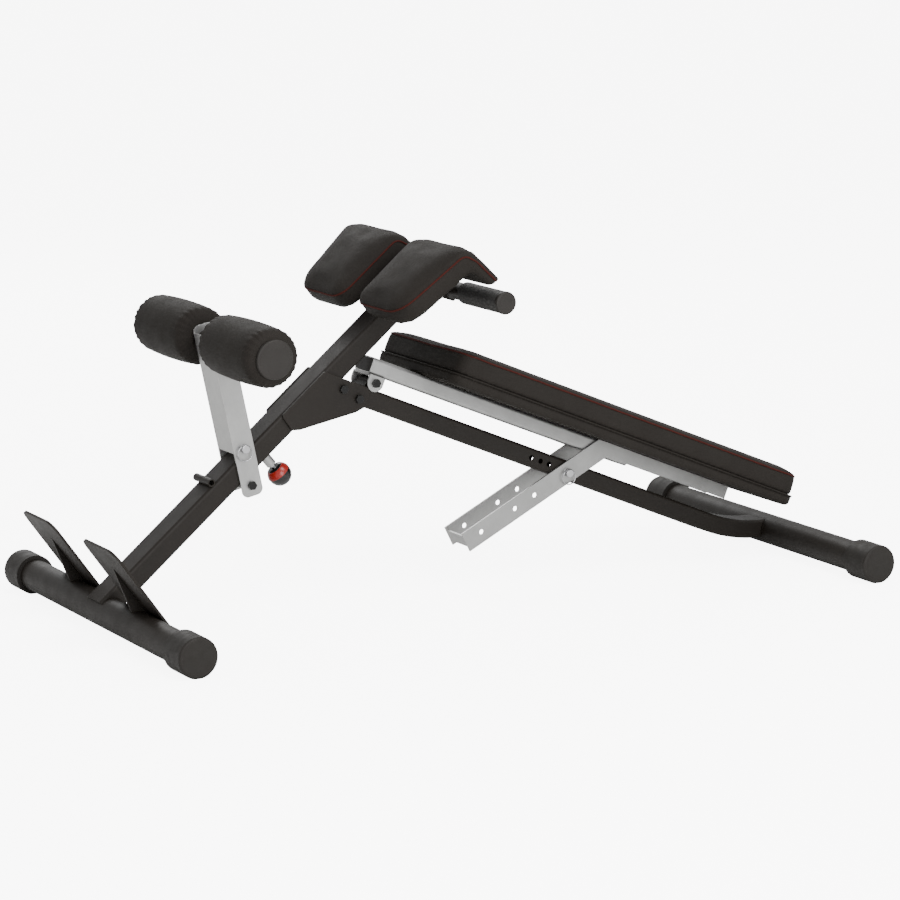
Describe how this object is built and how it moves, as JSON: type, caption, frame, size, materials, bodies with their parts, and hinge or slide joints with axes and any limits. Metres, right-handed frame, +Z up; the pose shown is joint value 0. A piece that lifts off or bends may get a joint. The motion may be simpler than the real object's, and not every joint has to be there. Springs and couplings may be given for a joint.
{
  "type": "roman chair",
  "caption": "Folding roman chair with sloping post, foam ankle rollers on a hinged arm, sliding split hip pads with handles and a hinged decline back rest.",
  "frame": {"origin": "middle of the footprint, on the floor", "axes": "+X from the rear foot to the front foot, +Y to the chair's left as its user faces the front foot, +Z up"},
  "size_m": [1.312, 0.66, 0.5745],
  "materials": {
    "frame_paint": "satin powder coat",
    "foot_cap_plastic": "fine texture, matt",
    "trim_plastic": "matt",
    "grip_rubber": "matt",
    "black_bolt": "black oxide",
    "zinc_steel": "bright zinc plate, satin",
    "pin_steel": "nickel plate, bright",
    "knob_black": "gloss",
    "knob_red": "gloss",
    "charcoal_vinyl": "grained upholstery vinyl",
    "board_cover": "vinyl drawn over a board"
  },
  "bodies": {
    "frame": {"rear_foot_tube": "frame_paint", "front_foot_tube": "frame_paint", "rear_cap_left": "foot_cap_plastic", "rear_cap_right": "foot_cap_plastic", "front_cap_left": "foot_cap_plastic", "front_cap_right": "foot_cap_plastic", "foot_plate_left": "frame_paint", "foot_plate_right": "frame_paint", "plate_ribs": "frame_paint", "main_post": "frame_paint", "post_bush": "trim_plastic", "stop_peg": "frame_paint", "pivot_sleeve": "frame_paint", "arm_lock_lug": "frame_paint", "gusset_left": "frame_paint", "gusset_right": "frame_paint", "gusset_bolts": "black_bolt", "gusset_nuts": "black_bolt", "main_beam": "frame_paint", "hinge_lug": "frame_paint", "plunger_housing": "zinc_steel", "plunger_spring": "pin_steel"},
    "roller_arm": {"roller_arm": "zinc_steel", "arm_pivot_bolt": "black_bolt", "arm_pivot_nut": "black_bolt", "roller_axle": "frame_paint", "roller_cap_left": "trim_plastic", "roller_cap_right": "trim_plastic"},
    "roller_left": {"foam_roller_left": "charcoal_vinyl", "roller_core_left": "trim_plastic"},
    "roller_right": {"foam_roller_right": "charcoal_vinyl", "roller_core_right": "trim_plastic"},
    "arm_pin": {"arm_lock_pin": "pin_steel", "arm_lock_pin_ring": "pin_steel"},
    "hip_carriage": {"slide_tube": "frame_paint", "hip_pad_bracket": "frame_paint", "hip_pad_screws": "black_bolt", "handle_cheeks": "frame_paint", "handle_tube": "frame_paint", "handle_grip_left": "grip_rubber", "handle_grip_right": "grip_rubber", "handle_caps": "trim_plastic", "hip_board_left": "board_cover", "hip_board_right": "board_cover", "hip_pad_left": "charcoal_vinyl", "hip_pad_right": "charcoal_vinyl"},
    "plunger": {"plunger_pin": "pin_steel", "plunger_knob": "knob_black", "plunger_knob_ring": "knob_red"},
    "back_rest": {"rest_tube": "zinc_steel", "rest_tube_plug": "trim_plastic", "hinge_bracket": "zinc_steel", "hinge_bolt": "black_bolt", "hinge_nut": "black_bolt", "brace_channel": "zinc_steel", "back_board": "board_cover", "back_pad": "charcoal_vinyl", "back_pad_screws": "black_bolt"},
    "brace_pin": {"brace_lock_pin": "pin_steel", "brace_lock_pin_ring": "pin_steel"}
  },
  "joints": [
    {"name": "arm_fold", "type": "hinge", "parent": "frame", "child": "roller_arm", "pos_m": [-0.35627, 0, 0.20731], "axis": [0, -1, 0], "range_deg": [0, 48]},
    {"name": "left_roller_spin", "type": "hinge", "parent": "roller_arm", "child": "roller_left", "pos_m": [-0.40519, 0.12, 0.43358], "axis": [0, 1, 0], "continuous": true},
    {"name": "right_roller_spin", "type": "hinge", "parent": "roller_arm", "child": "roller_right", "pos_m": [-0.40519, -0.12, 0.43358], "axis": [0, 1, 0], "continuous": true},
    {"name": "arm_pin_pull", "type": "slide", "parent": "roller_arm", "child": "arm_pin", "axis": [0, -1, 0], "range_m": [0, 0.065]},
    {"name": "hip_slide", "type": "slide", "parent": "frame", "child": "hip_carriage", "axis": [0.7649, 0, 0.6441], "range_m": [0, 0.15]},
    {"name": "plunger_pull", "type": "slide", "parent": "frame", "child": "plunger", "axis": [0.6441, 0, -0.7649], "range_m": [0, 0.009], "stiffness_N_per_m": 1500, "springref_m": -0.003, "deforming": ["plunger_spring"]},
    {"name": "rest_tilt", "type": "hinge", "parent": "frame", "child": "back_rest", "pos_m": [-0.13888, 0, 0.34798], "axis": [0, -1, 0], "range_deg": [0, 26.2]},
    {"name": "brace_pin_pull", "type": "slide", "parent": "back_rest", "child": "brace_pin", "axis": [0, -1, 0], "range_m": [0, 0.065]}
  ]
}
